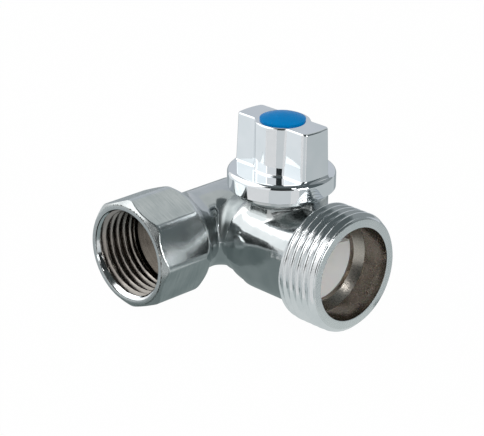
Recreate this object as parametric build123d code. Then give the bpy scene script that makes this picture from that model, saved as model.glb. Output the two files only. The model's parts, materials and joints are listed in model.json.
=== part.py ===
from build123d import *
import os
from math import cos, radians, sqrt, tan

# Angled ball valve for a washing machine tap: female inlet socket, male hose outlet,
# bar knob that turns a ball by a quarter turn. Millimetres, +Z up.
# The pieces are drawn about the centre of the ball: +X runs out of the outlet, -Y out of
# the inlet, +Z up the stem. Each is then moved so that the origin lies on the inlet's axis
# where its full thread starts. The valve is drawn shut, with the knob's bar along the outlet.

# Running and assembly clearances
RUNNING_FIT = 0.05
SLIDE_GAP = 0.1
OPEN_GAP = 0.35

# Where the inlet lies from the centre of the ball
INLET_OFFSET = 18.2
INLET_REACH = 28.7

# Inlet socket, an octagon with a corner upwards round a G 1/2 pipe thread
SOCKET_FLATS = 23.4
SOCKET_LENGTH = 17.4
SOCKET_FLAT_LENGTH = 14.2
SOCKET_CORNER_LENGTH = 12.3
SOCKET_FACE_RADIUS = 11.15
SOCKET_FRONT_BEVEL = 1.5
INLET_CREST_RADIUS = 9.32
INLET_ROOT_RADIUS = 10.48
INLET_THREAD_LENGTH = 10.0
INLET_RELIEF_LENGTH = 1.6
INLET_STEP_LENGTH = 2.6
INLET_PASSAGE_RADIUS = 5.6
MOUTH_BEVEL = 1.0
MOUTH_BEVEL_ANGLE = 30.0
DRILL_POINT_ANGLE = 118.0

# Neck, elbow and ball chamber
NECK_RADIUS = 9.0
ELBOW_RADIUS = 9.2
NECK_FILLET = 1.6
SHOULDER_FILLET = 1.0
CHAMBER_RADIUS = 10.95
CHAMBER_FLATS = 20.4
CHAMBER_START = -7.0
CHAMBER_END = 12.1
CHAMBER_BACK_BEVEL = 0.5
CHAMBER_BORE_RADIUS = 8.6

# Outlet spigot, a G 3/4 hose thread
OUTLET_REACH = 22.0
OUTLET_CREST_RADIUS = 13.22
OUTLET_FRONT_BEVEL = 1.1
OUTLET_BACK_BEVEL = 0.4
OUTLET_BORE_RADIUS = 10.3
OUTLET_BORE_DEPTH = 6.3

# Ball and seats
BALL_RADIUS = 8.2
BALL_PORT_RADIUS = 4.6
BALL_SLOT_WIDTH = 4.0
BALL_SLOT_FLOOR = 5.6
SEAT_BORE_RADIUS = 4.9
SEAT_INNER_FACE = 5.2
SEAT_OUTER_FACE = 8.3
RETAINER_FACE = 12.9
RETAINER_RIM = 0.35
RETAINER_FUNNEL_DEPTH = 3.4
RETAINER_BORE_RADIUS = 5.2
RETAINER_NOTCH_WIDTH = 4.4
RETAINER_NOTCH_DEPTH = 1.9
RETAINER_NOTCH_LENGTH = 2.4
RETAINER_NOTCH_ANGLE = 34.0

# Turret on the chamber, which holds the stem: eight-sided neck, collar, and rib over the outlet
TURRET_RADIUS = 10.2
TURRET_TOP = 15.4
TURRET_NECK_FLATS = 13.4
TURRET_NECK_TOP = 11.2
TURRET_COLLAR_BOTTOM = 12.6
RIB_START_ANGLE = -6.0
RIB_SWEEP_ANGLE = 62.0
STEM_WELL_FLOOR = 9.8
STEM_HOLE_RADIUS = 4.3
COLLAR_RADIUS = 5.8
COLLAR_THICKNESS = 1.4
STEM_WASHER_THICKNESS = 0.5
BONNET_RADIUS = 7.6
BONNET_TOP = 16.2
BONNET_KEY_RADIUS = 0.8
BONNET_KEY_DEPTH = 1.6

# Stem
STEM_RADIUS = 4.0
TANG_BOTTOM = 5.8
DRIVE_FLATS = 6.0
DRIVE_START = 17.2
DRIVE_END = 22.6
O_RING_SECTION = 0.7
O_RING_SQUEEZE = 0.42
O_RING_SPACING = 1.8
BONNET_O_RING_SECTION = 0.6

# Quarter-turn stop between the turret's rim and the knob's lug
TURN_ANGLE = 90.0
STOP_HEIGHT = 1.1
STOP_INNER_RADIUS = 9.0
STOP_LUG_ANGLE = 20.0
STOP_SLACK_ANGLE = 1.0
STOP_START_ANGLE = 150.0

# Knob
SKIRT_RADIUS = 11.75
SKIRT_BOTTOM = 14.1
SKIRT_SHOULDER_RADIUS = 1.1
KNOB_FLOOR_TOP = 18.1
KNOB_FLOOR_UNDERSIDE = 16.9
HUB_BOTTOM = 16.5
BAR_TOP = 28.9
BAR_HALF_LENGTH = 10.45
BAR_HALF_WIDTH = 3.8
BAR_DRAFT = 1.5
BAR_END_BULGE = 0.45
BAR_CORNER_RADIUS = 0.9
BAR_EDGE_BEVEL = 0.4
BAR_WALL = 1.3
BAR_ROOF = 1.4
HUB_RADIUS = 6.0
CAP_RECESS_RADIUS = 4.7
CAP_RECESS_FLOOR = 25.4
SCREW_HOLE_RADIUS = 2.2

# Knob screw, its washer and the blue cap
SCREW_SHANK_RADIUS = 1.95
SCREW_HEAD_RADIUS = 3.5
SCREW_HEAD_HEIGHT = 1.8
SCREW_LENGTH = 8.0
SCREW_HOLE_DEPTH = 7.0
SCREW_SOCKET_FLATS = 2.5
SCREW_SOCKET_DEPTH = 1.1
WASHER_RADIUS = 4.2
WASHER_THICKNESS = 0.5
CAP_RADIUS = 4.95
CAP_RIM_HEIGHT = 0.35
CAP_DOME_HEIGHT = 1.05
CAP_SKIRT_DEPTH = 1.6
CAP_SKIRT_WALL = 0.6

# Sizes that follow from the ones above
HALF_FACET = radians(22.5)
SOCKET_CORNER_RADIUS = SOCKET_FLATS / 2 / cos(HALF_FACET)
TURRET_NECK_RADIUS = TURRET_NECK_FLATS / 2 / cos(HALF_FACET)
SKIRT_BORE_RADIUS = TURRET_RADIUS + OPEN_GAP
COLLAR_BOTTOM = STEM_WELL_FLOOR + STEM_WASHER_THICKNESS
COLLAR_TOP = COLLAR_BOTTOM + COLLAR_THICKNESS
BONNET_BOTTOM = COLLAR_TOP + STEM_WASHER_THICKNESS
STEM_WELL_RADIUS = COLLAR_RADIUS + SLIDE_GAP
O_RING_CENTRE = STEM_RADIUS + RUNNING_FIT - O_RING_SECTION
O_RING_LOWER_HEIGHT = BONNET_BOTTOM + O_RING_SECTION + 4 * RUNNING_FIT
O_RING_UPPER_HEIGHT = O_RING_LOWER_HEIGHT + O_RING_SPACING
BONNET_O_RING_CENTRE = BONNET_RADIUS - BONNET_O_RING_SECTION
STOP_TOP = TURRET_TOP + STOP_HEIGHT

TO_OUTLET = Rot(0, 90, 0)
TO_INLET = Pos(-INLET_OFFSET, 0, 0) * Rot(90, 0, 0)
TO_ORIGIN = Pos(INLET_OFFSET, INLET_REACH - MOUTH_BEVEL, 0)


def spindle(points, sweep=360):
    """Solid turned about Z from (radius, height) points."""
    outline = Plane.XZ * make_face(Polyline(*points, close=True))
    return revolve(outline, Axis.Z, sweep)


def disc(radius, low, high):
    """Solid round bar about Z."""
    return Pos(0, 0, low) * extrude(Circle(radius), high - low)


def ring(outer, inner, low, high):
    """Plain ring about Z."""
    return Pos(0, 0, low) * extrude(Circle(outer) - Circle(inner), high - low)


def octagon(corner_radius, low, high):
    """Eight-sided bar about Z, with a corner on X."""
    return Pos(0, 0, low) * extrude(RegularPolygon(corner_radius, 8), high - low)


def socket_form():
    """Octagonal inlet socket, bevelled in front and sloped down to the neck behind."""
    back = INLET_REACH - SOCKET_LENGTH
    tip = INLET_REACH
    blank = octagon(SOCKET_CORNER_RADIUS, back, tip)
    turned = spindle([
        (0, back),
        (NECK_RADIUS, back),
        (SOCKET_FLATS / 2, tip - SOCKET_FLAT_LENGTH),
        (SOCKET_CORNER_RADIUS, tip - SOCKET_CORNER_LENGTH),
        (SOCKET_CORNER_RADIUS, tip - SOCKET_FRONT_BEVEL),
        (SOCKET_FACE_RADIUS, tip),
        (0, tip),
    ])
    return TO_INLET * (blank & turned)


def elbow_form():
    """Round neck that turns into the arm behind the ball, with a filleted inside corner."""
    neck = TO_INLET * disc(NECK_RADIUS, 0, INLET_REACH - SOCKET_LENGTH / 2)
    corner = Pos(-INLET_OFFSET, 0, 0) * Sphere(ELBOW_RADIUS)
    arm = TO_OUTLET * disc(ELBOW_RADIUS, -INLET_OFFSET, 0)
    elbow = neck + (corner + arm)
    inside_corner = elbow.edges().filter_by_position(
        Axis.X, -INLET_OFFSET + NECK_FILLET, 0).filter_by_position(
        Axis.Y, -INLET_REACH, -NECK_FILLET / 2)
    return fillet(inside_corner, NECK_FILLET)


def chamber_form():
    """Round ball chamber with a wrench flat on each side, and the plain blank of the outlet thread."""
    length = CHAMBER_END - CHAMBER_START
    flats = Pos(0, 0, CHAMBER_START + length / 2) * Box(2 * CHAMBER_RADIUS, CHAMBER_FLATS, length)
    turned = spindle([
        (0, CHAMBER_START),
        (CHAMBER_RADIUS - CHAMBER_BACK_BEVEL, CHAMBER_START),
        (CHAMBER_RADIUS, CHAMBER_START + CHAMBER_BACK_BEVEL),
        (CHAMBER_RADIUS, CHAMBER_END),
        (0, CHAMBER_END),
    ])
    spigot = spindle([
        (0, CHAMBER_END),
        (OUTLET_CREST_RADIUS - OUTLET_BACK_BEVEL, CHAMBER_END),
        (OUTLET_CREST_RADIUS, CHAMBER_END + OUTLET_BACK_BEVEL),
        (OUTLET_CREST_RADIUS, OUTLET_REACH - OUTLET_FRONT_BEVEL),
        (OUTLET_CREST_RADIUS - OUTLET_FRONT_BEVEL, OUTLET_REACH),
        (0, OUTLET_REACH),
    ])
    return TO_OUTLET * ((flats & turned) + spigot)


def stop_arc(low, high, start, sweep):
    """Piece of a rim about Z, from the start angle on."""
    outer = TURRET_RADIUS
    inner = STOP_INNER_RADIUS
    arc = spindle([(inner, low), (outer, low), (outer, high), (inner, high)], sweep)
    return Rot(0, 0, start) * arc


def drill_point(radius):
    """Depth of the cone that a drill leaves."""
    return radius / tan(radians(DRILL_POINT_ANGLE / 2))


def outlet_bores():
    """Everything that is bored along the outlet's axis."""
    step = OUTLET_REACH - OUTLET_BORE_DEPTH
    chamber_mouth = step - (OUTLET_BORE_RADIUS - CHAMBER_BORE_RADIUS)
    drill_end = -INLET_OFFSET - SEAT_BORE_RADIUS / 2
    return TO_OUTLET * spindle([
        (0, drill_end - drill_point(SEAT_BORE_RADIUS)),
        (SEAT_BORE_RADIUS, drill_end),
        (SEAT_BORE_RADIUS, -SEAT_OUTER_FACE),
        (CHAMBER_BORE_RADIUS, -SEAT_OUTER_FACE),
        (CHAMBER_BORE_RADIUS, chamber_mouth),
        (OUTLET_BORE_RADIUS, step),
        (OUTLET_BORE_RADIUS, OUTLET_REACH),
        (0, OUTLET_REACH),
    ])


def inlet_bores():
    """Threaded mouth, relief, step and passage, bored along the inlet's axis."""
    thread_end = INLET_REACH - INLET_THREAD_LENGTH
    relief_end = thread_end - INLET_RELIEF_LENGTH
    step_end = relief_end - INLET_STEP_LENGTH
    mouth = INLET_ROOT_RADIUS + RUNNING_FIT
    flare_end = INLET_REACH - MOUTH_BEVEL + (mouth - INLET_CREST_RADIUS) * tan(radians(MOUTH_BEVEL_ANGLE))
    return TO_INLET * spindle([
        (0, -drill_point(INLET_PASSAGE_RADIUS)),
        (INLET_PASSAGE_RADIUS, 0),
        (INLET_PASSAGE_RADIUS, step_end),
        (INLET_CREST_RADIUS, relief_end),
        (INLET_CREST_RADIUS, INLET_REACH - MOUTH_BEVEL),
        (mouth, flare_end),
        (mouth, INLET_REACH),
        (0, INLET_REACH),
    ])


def turret_bores():
    """Stem hole, washer well and bonnet seat, bored down from the turret's top."""
    return spindle([
        (0, 0),
        (STEM_HOLE_RADIUS, 0),
        (STEM_HOLE_RADIUS, STEM_WELL_FLOOR),
        (STEM_WELL_RADIUS, STEM_WELL_FLOOR),
        (STEM_WELL_RADIUS, BONNET_BOTTOM),
        (BONNET_RADIUS + RUNNING_FIT, BONNET_BOTTOM),
        (BONNET_RADIUS + RUNNING_FIT, TURRET_TOP),
        (0, TURRET_TOP),
    ])


def turret_form():
    """Neck over the ball that widens to a collar, with the raised rim that stops the knob."""
    neck = Rot(0, 0, 22.5) * octagon(TURRET_NECK_RADIUS, 0, TURRET_NECK_TOP)
    collar = spindle([
        (0, TURRET_NECK_TOP),
        (TURRET_NECK_RADIUS, TURRET_NECK_TOP),
        (TURRET_RADIUS, TURRET_COLLAR_BOTTOM),
        (TURRET_RADIUS, TURRET_TOP),
        (0, TURRET_TOP),
    ])
    gap = TURN_ANGLE + STOP_LUG_ANGLE + 2 * STOP_SLACK_ANGLE
    stop_from = STOP_START_ANGLE + TURN_ANGLE + STOP_LUG_ANGLE + STOP_SLACK_ANGLE
    return neck + collar + stop_arc(TURRET_TOP, STOP_TOP, stop_from, 360 - gap)


def rib_form():
    """Rib that carries the turret's collar on the outlet's side."""
    inner = TURRET_NECK_FLATS / 3
    low = CHAMBER_RADIUS / 2
    top = TURRET_COLLAR_BOTTOM
    section = [(inner, low), (TURRET_RADIUS, low), (TURRET_RADIUS, top), (inner, top)]
    return Rot(0, 0, RIB_START_ANGLE) * spindle(section, RIB_SWEEP_ANGLE)


def valve_body():
    """Forged body: inlet socket, elbow, chamber, turret with its stop rim, outlet spigot."""
    form = elbow_form() + chamber_form() + turret_form() + rib_form() + socket_form()
    back = SOCKET_LENGTH - INLET_REACH
    shoulder = form.edges().filter_by(GeomType.CIRCLE).filter_by_position(
        Axis.Y, back - RUNNING_FIT, back + RUNNING_FIT)
    form = fillet(shoulder, SHOULDER_FILLET)
    return form - outlet_bores() - inlet_bores() - turret_bores()


def seat_ring(sign):
    """Ring that the ball seals against, hollowed to the ball's form."""
    blank = ring(CHAMBER_BORE_RADIUS - RUNNING_FIT, SEAT_BORE_RADIUS, SEAT_INNER_FACE, SEAT_OUTER_FACE)
    seat = blank - Sphere(BALL_RADIUS + RUNNING_FIT)
    return TO_OUTLET * (seat if sign > 0 else Rot(180, 0, 0) * seat)


def seat_retainer():
    """Ring screwed in behind the outlet seat, with a funnel mouth and key notches."""
    outer = CHAMBER_BORE_RADIUS - RUNNING_FIT
    body = spindle([
        (RETAINER_BORE_RADIUS, SEAT_OUTER_FACE),
        (outer, SEAT_OUTER_FACE),
        (outer, RETAINER_FACE),
        (outer - RETAINER_RIM, RETAINER_FACE),
        (RETAINER_BORE_RADIUS, RETAINER_FACE - RETAINER_FUNNEL_DEPTH),
    ])
    notch = Pos(outer - RETAINER_NOTCH_DEPTH / 2, 0, RETAINER_FACE - RETAINER_NOTCH_LENGTH / 2) * Box(
        RETAINER_NOTCH_DEPTH + RETAINER_RIM, RETAINER_NOTCH_WIDTH, RETAINER_NOTCH_LENGTH)
    for side in (0, 180):
        body -= Rot(0, 0, 90 + RETAINER_NOTCH_ANGLE + side) * notch
    return TO_OUTLET * body


def ball():
    """Ball with its port across the outlet, as it is when shut, and the stem's slot on top."""
    port = Rot(90, 0, 0) * Cylinder(BALL_PORT_RADIUS, 2 * BALL_RADIUS)
    slot_height = BALL_RADIUS - BALL_SLOT_FLOOR
    slot = Pos(0, 0, BALL_SLOT_FLOOR + slot_height / 2) * Box(2 * BALL_RADIUS, BALL_SLOT_WIDTH, slot_height)
    return Sphere(BALL_RADIUS) - port - slot


def stem():
    """Stem with a flat tang, a collar, two seal grooves, a square drive and a screw hole."""
    neck_radius = STEM_HOLE_RADIUS - SLIDE_GAP
    groove_floor = O_RING_CENTRE - O_RING_SECTION
    groove_half = O_RING_SECTION + RUNNING_FIT
    flat = Box(4 * neck_radius, BALL_SLOT_WIDTH - 2 * SLIDE_GAP, 4 * BALL_RADIUS)
    tang = disc(neck_radius, TANG_BOTTOM, BALL_RADIUS) & flat
    shaft = disc(STEM_RADIUS, COLLAR_TOP, DRIVE_START)
    for height in (O_RING_LOWER_HEIGHT, O_RING_UPPER_HEIGHT):
        shaft -= ring(2 * STEM_RADIUS, groove_floor, height - groove_half, height + groove_half)
    square = Pos(0, 0, DRIVE_START) * extrude(Rectangle(DRIVE_FLATS, DRIVE_FLATS), DRIVE_END - DRIVE_START)
    whole = tang + disc(neck_radius, BALL_RADIUS, COLLAR_BOTTOM)
    whole += disc(COLLAR_RADIUS, COLLAR_BOTTOM, COLLAR_TOP)
    whole += shaft + (square & disc(STEM_RADIUS, DRIVE_START, DRIVE_END))
    return whole - disc(SCREW_SHANK_RADIUS, DRIVE_END - SCREW_HOLE_DEPTH, DRIVE_END)


def stem_washer(low):
    """Slippery washer beside the stem's collar."""
    return ring(COLLAR_RADIUS, STEM_HOLE_RADIUS, low, low + STEM_WASHER_THICKNESS)


def bonnet():
    """Ring screwed into the turret over the stem's collar, with two key holes."""
    body = ring(BONNET_RADIUS, STEM_RADIUS + RUNNING_FIT, BONNET_BOTTOM, BONNET_TOP)
    groove = 2 * BONNET_O_RING_SECTION
    body -= ring(2 * BONNET_RADIUS, BONNET_RADIUS - groove, BONNET_BOTTOM, BONNET_BOTTOM + groove)
    key_place = (STEM_RADIUS + BONNET_RADIUS) / 2
    for side in (-1, 1):
        body -= Pos(side * key_place, 0, 0) * disc(BONNET_KEY_RADIUS, BONNET_TOP - BONNET_KEY_DEPTH, BONNET_TOP)
    return body


def squeezed_ring(centre, half, height):
    """Rubber ring squeezed flat against its seat, so that its section is an octagon."""
    flat = half * O_RING_SQUEEZE
    return spindle([
        (centre - flat, height - half),
        (centre + flat, height - half),
        (centre + half, height - flat),
        (centre + half, height + flat),
        (centre + flat, height + half),
        (centre - flat, height + half),
        (centre - half, height + flat),
        (centre - half, height - flat),
    ])


def stem_o_ring(height):
    """Seal in a groove of the stem."""
    return squeezed_ring(O_RING_CENTRE, O_RING_SECTION, height)


def bonnet_o_ring():
    """Seal in the corner between the bonnet and the turret."""
    return squeezed_ring(BONNET_O_RING_CENTRE, BONNET_O_RING_SECTION, BONNET_BOTTOM + BONNET_O_RING_SECTION)


def knob_bar():
    """Grip bar with bulged ends, rounded corners and drafted sides."""
    height = BAR_TOP - KNOB_FLOOR_UNDERSIDE
    spread = height * tan(radians(BAR_DRAFT))
    tip = BAR_HALF_LENGTH + spread
    end = tip - BAR_END_BULGE
    width = BAR_HALF_WIDTH + spread
    outline = Line((-end, -width), (end, -width))
    outline += ThreePointArc((end, -width), (tip, 0), (end, width))
    outline += Line((end, width), (-end, width))
    outline += ThreePointArc((-end, width), (-tip, 0), (-end, -width))
    plan = make_face(outline)
    plan = fillet(plan.vertices(), BAR_CORNER_RADIUS + spread)
    return extrude(Pos(0, 0, KNOB_FLOOR_UNDERSIDE) * plan, height, taper=BAR_DRAFT)


def knob_shell():
    """Skirt and floor of the knob, with the stop lug inside."""
    shell = spindle([
        (0, KNOB_FLOOR_UNDERSIDE),
        (SKIRT_BORE_RADIUS, KNOB_FLOOR_UNDERSIDE),
        (SKIRT_BORE_RADIUS, SKIRT_BOTTOM),
        (SKIRT_RADIUS, SKIRT_BOTTOM),
        (SKIRT_RADIUS, KNOB_FLOOR_TOP),
        (0, KNOB_FLOOR_TOP),
    ])
    rim = shell.edges().filter_by(GeomType.CIRCLE).group_by(Axis.Z)[-1]
    shell = fillet(rim, SKIRT_SHOULDER_RADIUS)
    lug_bottom = TURRET_TOP + SLIDE_GAP
    lug_start = STOP_START_ANGLE
    return shell + stop_arc(lug_bottom, KNOB_FLOOR_UNDERSIDE, lug_start, STOP_LUG_ANGLE)


def knob():
    """Bar knob: skirt, bar and round hub, cored below and recessed on top."""
    body = knob_shell() + knob_bar() + disc(HUB_RADIUS, HUB_BOTTOM, BAR_TOP)
    top_edges = body.faces().sort_by(Axis.Z)[-1].edges()
    body = chamfer(top_edges, BAR_EDGE_BEVEL)
    core_length = BAR_HALF_LENGTH - BAR_WALL - HUB_RADIUS
    core = Pos(0, 0, KNOB_FLOOR_UNDERSIDE) * extrude(
        Rectangle(core_length, 2 * (BAR_HALF_WIDTH - BAR_WALL)), BAR_TOP - BAR_ROOF - KNOB_FLOOR_UNDERSIDE)
    for side in (-1, 1):
        body -= Pos(side * (HUB_RADIUS + core_length / 2), 0, 0) * core
    socket_flats = DRIVE_FLATS + 2 * RUNNING_FIT
    socket = extrude(Rectangle(socket_flats, socket_flats), DRIVE_END + SLIDE_GAP - HUB_BOTTOM)
    body -= Pos(0, 0, HUB_BOTTOM) * socket
    body -= disc(STEM_RADIUS + SLIDE_GAP, HUB_BOTTOM, DRIVE_START)
    body -= disc(SCREW_HOLE_RADIUS, DRIVE_END, BAR_TOP)
    return body - disc(CAP_RECESS_RADIUS, CAP_RECESS_FLOOR, BAR_TOP)


def knob_washer():
    """Washer under the head of the knob's screw."""
    return ring(WASHER_RADIUS, SCREW_HOLE_RADIUS, CAP_RECESS_FLOOR, CAP_RECESS_FLOOR + WASHER_THICKNESS)


def knob_screw():
    """Screw down the middle of the knob into the stem, with a key socket in its head."""
    seat = CAP_RECESS_FLOOR + WASHER_THICKNESS
    top = seat + SCREW_HEAD_HEIGHT
    screw = disc(SCREW_HEAD_RADIUS, seat, top) + disc(SCREW_SHANK_RADIUS, seat - SCREW_LENGTH, seat)
    key = extrude(RegularPolygon(SCREW_SOCKET_FLATS / 2, 6, major_radius=False), SCREW_SOCKET_DEPTH)
    return screw - Pos(0, 0, top - SCREW_SOCKET_DEPTH) * key


def index_cap():
    """Domed cap with a thin skirt that plugs into the knob's recess."""
    rim = BAR_TOP + CAP_RIM_HEIGHT
    plug = CAP_RECESS_RADIUS - RUNNING_FIT
    inner = plug - CAP_SKIRT_WALL
    outline = Polyline((0, rim), (0, BAR_TOP), (inner, BAR_TOP), (inner, BAR_TOP - CAP_SKIRT_DEPTH),
                       (plug, BAR_TOP - CAP_SKIRT_DEPTH), (plug, BAR_TOP), (CAP_RADIUS, BAR_TOP), (CAP_RADIUS, rim))
    crown = rim + CAP_DOME_HEIGHT
    sphere_radius = (CAP_RADIUS ** 2 + CAP_DOME_HEIGHT ** 2) / (2 * CAP_DOME_HEIGHT)
    half = CAP_RADIUS / 2
    half_height = crown - sphere_radius + sqrt(sphere_radius ** 2 - half ** 2)
    outline += ThreePointArc((CAP_RADIUS, rim), (half, half_height), (0, crown))
    outline += Line((0, crown), (0, rim))
    return revolve(Plane.XZ * make_face(outline), Axis.Z)


def main():
    """Writes every piece to its own file."""
    pieces = {
        "valve_body": valve_body(),
        "seat_retainer": seat_retainer(),
        "outlet_seat": seat_ring(1),
        "inlet_seat": seat_ring(-1),
        "ball": ball(),
        "stem": stem(),
        "stem_washer_lower": stem_washer(STEM_WELL_FLOOR),
        "stem_washer_upper": stem_washer(COLLAR_TOP),
        "bonnet": bonnet(),
        "bonnet_o_ring": bonnet_o_ring(),
        "stem_o_ring_lower": stem_o_ring(O_RING_LOWER_HEIGHT),
        "stem_o_ring_upper": stem_o_ring(O_RING_UPPER_HEIGHT),
        "knob": knob(),
        "knob_washer": knob_washer(),
        "knob_screw": knob_screw(),
        "index_cap": index_cap(),
    }
    os.makedirs("parts", exist_ok=True)
    for name, piece in pieces.items():
        export_step(TO_ORIGIN * piece, os.path.join("parts", name + ".step"))


main()
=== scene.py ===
import json
import math

import bpy
import numpy as np
from mathutils import Matrix, Vector


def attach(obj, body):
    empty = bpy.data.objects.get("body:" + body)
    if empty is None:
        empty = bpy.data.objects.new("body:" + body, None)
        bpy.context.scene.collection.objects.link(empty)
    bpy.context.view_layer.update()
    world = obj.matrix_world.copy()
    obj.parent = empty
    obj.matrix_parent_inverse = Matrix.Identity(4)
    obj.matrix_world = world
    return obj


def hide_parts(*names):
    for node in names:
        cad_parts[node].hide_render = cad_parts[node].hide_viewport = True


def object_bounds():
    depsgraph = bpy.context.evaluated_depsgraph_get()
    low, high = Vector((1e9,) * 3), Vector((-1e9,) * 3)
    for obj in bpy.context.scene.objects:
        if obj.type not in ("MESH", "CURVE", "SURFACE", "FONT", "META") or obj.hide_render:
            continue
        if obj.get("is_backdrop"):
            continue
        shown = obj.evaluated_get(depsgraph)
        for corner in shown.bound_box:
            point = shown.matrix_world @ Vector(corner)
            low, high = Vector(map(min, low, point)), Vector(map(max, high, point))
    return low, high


# Looks of the washing machine ball valve. Shapes are worked out in millimetres about the ball's
# centre (+X out of the outlet, -Y out of the inlet, +Z up the stem), then moved into the row
# frame and turned into metres. The body and the knob are cast from distance fields, which are
# negative inside. The two threads are closed rings of their own.

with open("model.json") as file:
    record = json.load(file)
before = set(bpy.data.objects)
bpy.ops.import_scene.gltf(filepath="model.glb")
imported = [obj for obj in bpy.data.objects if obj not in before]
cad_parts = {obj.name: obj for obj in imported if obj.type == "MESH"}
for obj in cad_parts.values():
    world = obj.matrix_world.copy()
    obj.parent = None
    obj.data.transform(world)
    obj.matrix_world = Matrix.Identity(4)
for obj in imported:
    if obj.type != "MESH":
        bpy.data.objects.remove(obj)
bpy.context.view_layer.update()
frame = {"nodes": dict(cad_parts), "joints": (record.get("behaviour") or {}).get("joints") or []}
NODES = frame["nodes"]
JOINT = frame["joints"][0]
CENTRE = np.array(JOINT["pos_m"]) * 1000.0

# Inlet socket, its thread, the neck and the elbow
INLET_X = -18.2
INLET_TIP = 28.7
SOCKET_FLAT = 11.7
SOCKET_CORNER = SOCKET_FLAT / math.cos(math.radians(22.5))
SOCKET_FACE = 11.15
SOCKET_BEVEL = 1.5
SOCKET_BACK = 11.3
SOCKET_SHOULDER = 14.5
SOCKET_CORNER_END = 16.4
SOCKET_EDGE = 0.8
SOCKET_FILLET = 1.7
NECK = 8.85
ARM_END = 9.3
ARM_FLARE = -12.2
ARM_FLARE_END = -8.5
ELBOW_CORNER = 1.1
ELBOW_EDGE = 1.0
ELBOW_FILLET = 1.6
ELBOW_EASE = 8.0
ELBOW_REACH = 20.0
INLET_CREST = 9.32
INLET_ROOT = 10.48
INLET_SLEEVE = 11.15
INLET_MOUTH = 10.2
PASSAGE = 5.6
PASSAGE_START = 14.5
FUNNEL_LENGTH = 2.6
RELIEF_END = 17.1
THREAD_END = 18.7

# Chamber, turret and outlet
CHAMBER = 10.95
CHAMBER_FLAT = 10.2
CHAMBER_START = -7.0
CHAMBER_END = 12.1
CHAMBER_EDGE = 0.7
SHOULDER_END = -1.5
SHOULDER_DROP = 1.1
SHOULDER_ROUND = 0.97
UNDERCUT_END = -2.7
UNDERCUT_FADE = 5.0
UNDERCUT = 0.2
UNDERCUT_MORE = 0.25
TURRET = 10.2
TURRET_NECK = 6.7
TURRET_CORNER = TURRET_NECK / math.cos(math.radians(22.5))
TURRET_NECK_TOP = 11.2
TURRET_FILLET = 1.1
COLLAR_BOTTOM = 12.6
RIB_MIDDLE = 25.0
RIB_HALF = 31.0
TURRET_TOP = 15.4
STOP_TOP = 16.5
STOP_INNER = 9.0
STOP_GAP_MIDDLE = 205.0
STOP_GAP_HALF = 56.0
OUTLET_TIP = 22.0
OUTLET_CREST = 13.22
OUTLET_ROOT = 12.25
OUTLET_BEVEL = 1.1
OUTLET_BACK = 0.4
OUTLET_BORE = 10.3
OUTLET_STEP = 15.7
OUTLET_STEP_START = 14.0
OUTLET_SLEEVE = 9.8
OUTLET_SLEEVE_START = 10.0
CHAMBER_BORE = 8.6
PITCH = 1.814
FLANK = 27.5
OUTLET_CREST_ROUND = 0.2
INLET_CREST_ROUND = 0.13
ROOT_ROUND = 0.2
MOUTH_CONE = 0.75
LEAD_IN = 1.5
BRIGHT_MOUTH = 1.5
THREAD_START = THREAD_END - 0.6

# Bores in the body: from, to and radius, along the outlet's axis and up the stem's
WATER_BORES = ((-20.65, -8.3, 4.95), (-8.35, 10.0, 8.65), (9.8, 14.0, 9.7))
WATER_BORE_END = -21.5
STEM_BORES = ((0, 10, 4.35), (9.75, 12.25, 5.95), (12.15, 17, 7.7))

# Knob
SKIRT = 11.75
SKIRT_SHOULDER = 1.1
SKIRT_BOTTOM = 14.1
KNOB_FLOOR = 18.1
KNOB_UNDERSIDE = 16.9
SKIRT_BORE = 10.55
KNOB_TOP = 28.9
BAR_LENGTH = 10.45
BAR_CORNER = 0.95
BAR_WIDTH = 3.8
BAR_DRAFT = math.tan(math.radians(1.5))
BAR_BULGE = 0.45
HUB = 6.0
HUB_BOTTOM = 16.5
CAP_RECESS = 4.7
CAP_RECESS_FLOOR = 25.4
LUG_MIDDLE = 160.0
LUG_HALF = 10.0
CORE_MIDDLE = 7.4
CORE_HALF = 1.4
CORE_HALF_WIDTH = 2.5
CORE_ROOF = 1.4
DRIVE_HALF = 3.05
DRIVE_TOP = 22.7
KNOB_BORES = ((0, 17.2, 4.1), (20, 30, 2.2), (CAP_RECESS_FLOOR, 30, CAP_RECESS))

# Fineness: cell size of the two cast meshes and how often their points are moved onto the
# surface, then steps round and along the thread rings
SETTLINGS = 4
BODY_CELL = 0.22
BODY_SPACE = ((-31, -29, -13), (14, 13, 17))
KNOB_CELL = 0.16
KNOB_SPACE = ((-12, -12, 14), (12, 12, 29))
SEGMENTS = 300
ROW = 0.07
TURN = np.linspace(0, 2 * math.pi, SEGMENTS, endpoint=False)


def join(a, b, radius):
    """Union of two distance fields with a fillet of that radius in the corner between them."""
    u = np.maximum(radius - a, 0)
    v = np.maximum(radius - b, 0)
    return np.maximum(radius, np.minimum(a, b)) - np.sqrt(u * u + v * v)


def meet(a, b, radius):
    """Intersection of two distance fields with the edge between them rounded."""
    u = np.maximum(radius + a, 0)
    v = np.maximum(radius + b, 0)
    return np.minimum(-radius, np.maximum(a, b)) + np.sqrt(u * u + v * v)


def cut(a, b, radius=0.0):
    """The first field with the second taken out."""
    return meet(a, -b, radius)


def bar_round(distance, radius, along, low, high, edge=0.0):
    """Round bar: distance from its axis, place along it, and its two ends."""
    ends = np.maximum(low - along, along - high)
    return meet(distance - radius, ends, edge)


def octagon(u, v, flat, edge, turned):
    """Eight-sided bar in u and v, with a flat square to u, or a corner there when turned."""
    if turned:
        c, s = math.cos(math.radians(22.5)), math.sin(math.radians(22.5))
        u, v = c * u - s * v, s * u + c * v
    u, v = np.abs(u), np.abs(v)
    square = np.maximum(u, v) - flat
    diamond = (u + v) * math.sqrt(0.5) - flat
    return meet(square, diamond, edge)


def off_angle(angle, middle):
    """Degrees between an angle round the stem and a middle one."""
    return np.abs((angle - middle + 180) % 360 - 180)


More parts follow.
